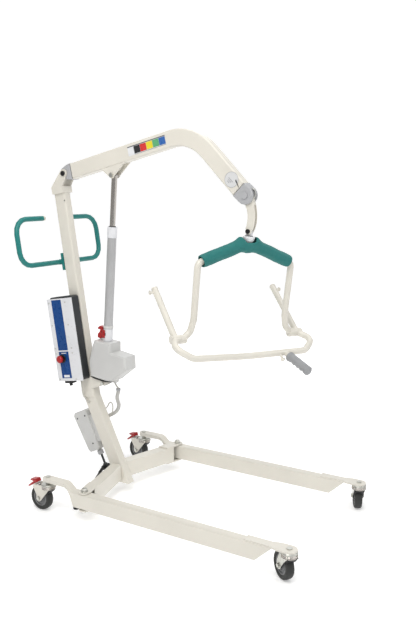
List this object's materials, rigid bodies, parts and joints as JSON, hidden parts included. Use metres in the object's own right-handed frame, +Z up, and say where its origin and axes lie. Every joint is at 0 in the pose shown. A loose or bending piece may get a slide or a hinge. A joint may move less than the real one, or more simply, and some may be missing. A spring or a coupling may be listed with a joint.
{
  "type": "patient lift hoist",
  "caption": "Mobile patient hoist with opening wheeled legs, leaning mast, electric actuator under a cranked boom, and a swivelling bent-tube cradle with side hooks",
  "frame": {"origin": "middle of the bounding box's footprint, on the floor under the wheels", "axes": "+Z up; +X forward, from the mast towards the leg tips; +Y to the left of someone pushing it"},
  "size_m": [1.2896, 0.7466, 1.4787],
  "materials": {
    "anodised_tube": "grey anodised tube",
    "black_plastic": "black moulded plastic",
    "board_green": "coated circuit board",
    "cable_sheath": "flexible pale grey cable sheath",
    "chrome": "polished chrome",
    "cream_paint": "satin cream powder coat",
    "dark_grey_plastic": "dark grey moulded plastic",
    "grip_rubber": "ribbed grey rubber",
    "mid_grey_plastic": "mid grey moulded plastic",
    "pale_grey_plastic": "pale grey moulded plastic",
    "red_plastic": "red moulded plastic",
    "teal_paint": "satin teal powder coat",
    "teal_sleeve": "woven teal padded sleeve",
    "tyre": "dark grey rubber tread on a grey hub",
    "white_plastic": "white moulded plastic",
    "zinc": "zinc plated steel"
  },
  "bodies": {
    "base": {"base_frame": "cream_paint", "mast": "cream_paint", "boom_pivot_bolt": "black_plastic", "push_handle": "teal_paint", "handle_plug_near": "cream_paint", "handle_plug_far": "cream_paint", "control_box": "dark_grey_plastic", "control_panel": "white_plastic", "battery_pack": "black_plastic", "circuit_board": "board_green", "box_connector": "black_plastic", "spreader_drive": "pale_grey_plastic", "actuator_foot_pin": "zinc", "leg_pivot_bolt_near": "zinc", "leg_pivot_bolt_far": "zinc", "motor_cable": "cable_sheath", "cable_sleeve": "mid_grey_plastic", "drive_cable": "cable_sheath", "box_cable": "cable_sheath"},
    "boom": {"boom": "cream_paint", "actuator_top_bolt": "zinc", "actuator_top_nut": "zinc", "boom_rear_cover": "mid_grey_plastic", "boom_end_cap": "mid_grey_plastic", "hanger_pin": "zinc"},
    "actuator_body": {"actuator_housing": "pale_grey_plastic", "actuator_tube": "anodised_tube", "actuator_wiper": "white_plastic", "lead_screw": "zinc"},
    "actuator_rod": {"actuator_rod": "chrome"},
    "emergency_lever": {"emergency_lever": "red_plastic"},
    "stop_button": {"stop_button": "red_plastic"},
    "leg_near": {"leg_near": "cream_paint", "caster_head_front_near": "zinc", "caster_head_rear_near": "zinc"},
    "leg_far": {"leg_far": "cream_paint", "caster_head_front_far": "zinc", "caster_head_rear_far": "zinc"},
    "spreader_rod": {"spreader_rod": "dark_grey_plastic"},
    "tie_rod_near": {"tie_rod_near": "black_plastic"},
    "tie_rod_far": {"tie_rod_far": "black_plastic"},
    "hanger": {"hanger_link": "cream_paint", "hanger_bolt": "black_plastic"},
    "swivel_block": {"swivel_block": "white_plastic"},
    "yoke": {"yoke": "cream_paint", "yoke_pad": "teal_sleeve"},
    "cradle": {"cradle": "cream_paint", "cradle_grip": "grip_rubber", "cradle_pivot_bolt_near": "cream_paint", "cradle_pivot_bolt_far": "cream_paint"},
    "caster_front_near": {"caster_fork_front_near": "zinc"},
    "wheel_front_near": {"wheel_front_near": "tyre"},
    "caster_front_far": {"caster_fork_front_far": "zinc"},
    "wheel_front_far": {"wheel_front_far": "tyre"},
    "caster_rear_near": {"caster_fork_rear_near": "cream_paint"},
    "wheel_rear_near": {"wheel_rear_near": "tyre"},
    "pedal_rear_near": {"brake_pedal_rear_near": "red_plastic"},
    "caster_rear_far": {"caster_fork_rear_far": "cream_paint"},
    "wheel_rear_far": {"wheel_rear_far": "tyre"},
    "pedal_rear_far": {"brake_pedal_rear_far": "red_plastic"}
  },
  "joints": [
    {"name": "boom_lift", "type": "hinge", "parent": "base", "child": "boom", "pos_m": [-0.56637, -0.02499, 1.32], "axis": [0, -1, 0], "range_deg": [-35, 15]},
    {"name": "actuator_tilt", "type": "hinge", "parent": "base", "child": "actuator_body", "pos_m": [-0.39037, -0.02499, 0.458], "axis": [0, 1, 0], "range_deg": [-4, 4]},
    {"name": "actuator_stroke", "type": "slide", "parent": "actuator_body", "child": "actuator_rod", "axis": [0.0794, 0, 0.9968], "range_m": [-0.16, 0.07]},
    {"name": "emergency_lever_turn", "type": "hinge", "parent": "actuator_body", "child": "emergency_lever", "pos_m": [-0.37354, -0.02499, 0.66933], "axis": [0.0794, 0, 0.9968], "range_deg": [0, 20]},
    {"name": "stop_button_press", "type": "slide", "parent": "base", "child": "stop_button", "axis": [0, 1, 0], "range_m": [0, 0.004]},
    {"name": "leg_spread_near", "type": "hinge", "parent": "base", "child": "leg_near", "pos_m": [-0.24637, -0.34299, 0.086], "axis": [0, 0, -1], "range_deg": [0, 10]},
    {"name": "leg_spread_far", "type": "hinge", "parent": "base", "child": "leg_far", "pos_m": [-0.24637, 0.29301, 0.086], "axis": [0, 0, 1], "range_deg": [0, 10]},
    {"name": "spreader_stroke", "type": "slide", "parent": "base", "child": "spreader_rod", "axis": [-0.4305, 0, 0.9026], "range_m": [0, 0.0231]},
    {"name": "tie_rod_turn_near", "type": "hinge", "parent": "leg_near", "child": "tie_rod_near", "pos_m": [-0.29037, -0.34299, 0.046], "axis": [0.3276, -0.008, 0.9448], "range_deg": [0, 12.81]},
    {"name": "tie_rod_turn_far", "type": "hinge", "parent": "leg_far", "child": "tie_rod_far", "pos_m": [-0.29037, 0.29301, 0.046], "axis": [-0.3276, -0.008, -0.9448], "range_deg": [0, 12.81]},
    {"name": "caster_swivel_front_near", "type": "hinge", "parent": "leg_near", "child": "caster_front_near", "pos_m": [0.61363, -0.34299, 0.08], "axis": [0, 0, 1], "continuous": true},
    {"name": "wheel_roll_front_near", "type": "hinge", "parent": "caster_front_near", "child": "wheel_front_near", "pos_m": [0.58451, -0.32183, 0.05], "axis": [0.5878, 0.809, 0], "continuous": true},
    {"name": "caster_swivel_front_far", "type": "hinge", "parent": "leg_far", "child": "caster_front_far", "pos_m": [0.61363, 0.29301, 0.08], "axis": [0, 0, 1], "continuous": true},
    {"name": "wheel_roll_front_far", "type": "hinge", "parent": "caster_front_far", "child": "wheel_front_far", "pos_m": [0.59729, 0.32509, 0.05], "axis": [0.891, 0.454, 0], "continuous": true},
    {"name": "caster_swivel_rear_near", "type": "hinge", "parent": "leg_near", "child": "caster_rear_near", "pos_m": [-0.43337, -0.34299, 0.08], "axis": [0, 0, 1], "continuous": true},
    {"name": "wheel_roll_rear_near", "type": "hinge", "parent": "caster_rear_near", "child": "wheel_rear_near", "pos_m": [-0.46935, -0.34173, 0.05], "axis": [0.0349, 0.9994, 0], "continuous": true},
    {"name": "brake_pedal_rear_near", "type": "hinge", "parent": "caster_rear_near", "child": "pedal_rear_near", "pos_m": [-0.48933, -0.34103, 0.11], "axis": [-0.0349, -0.9994, 0], "range_deg": [0, 12]},
    {"name": "caster_swivel_rear_far", "type": "hinge", "parent": "leg_far", "child": "caster_rear_far", "pos_m": [-0.43337, 0.29301, 0.08], "axis": [0, 0, 1], "continuous": true},
    {"name": "wheel_roll_rear_far", "type": "hinge", "parent": "caster_rear_far", "child": "wheel_rear_far", "pos_m": [-0.46902, 0.29802, 0.05], "axis": [0.1392, 0.9903, 0], "continuous": true},
    {"name": "brake_pedal_rear_far", "type": "hinge", "parent": "caster_rear_far", "child": "pedal_rear_far", "pos_m": [-0.48882, 0.30081, 0.11], "axis": [-0.1392, -0.9903, 0], "range_deg": [0, 12]},
    {"name": "hanger_swing", "type": "hinge", "parent": "boom", "child": "hanger", "pos_m": [0.27463, -0.02499, 1.237], "axis": [0, 1, 0], "range_deg": [-25, 25]},
    {"name": "swivel_block_swing", "type": "hinge", "parent": "hanger", "child": "swivel_block", "pos_m": [0.28463, -0.02499, 1.11], "axis": [0, 1, 0], "range_deg": [-12, 12]},
    {"name": "yoke_swivel", "type": "hinge", "parent": "swivel_block", "child": "yoke", "pos_m": [0.27949, -0.02499, 1.06026], "axis": [0.1028, 0, 0.9947], "continuous": true},
    {"name": "cradle_tilt", "type": "hinge", "parent": "yoke", "child": "cradle", "pos_m": [0.24485, -0.02499, 0.72505], "axis": [0.4716, 0.8805, -0.0487], "range_deg": [-35, 35]}
  ],
  "couplings": [
    {"joint": "actuator_stroke", "follows": "boom_lift", "m_per_rad": 0.2345},
    {"joint": "actuator_tilt", "follows": "boom_lift", "ratio": 0.04},
    {"joint": "leg_spread_far", "follows": "leg_spread_near", "ratio": 1},
    {"joint": "spreader_stroke", "follows": "leg_spread_near", "m_per_rad": 0.1295},
    {"joint": "tie_rod_turn_near", "follows": "leg_spread_near", "ratio": 1.2609},
    {"joint": "tie_rod_turn_far", "follows": "leg_spread_near", "ratio": 1.2609}
  ]
}
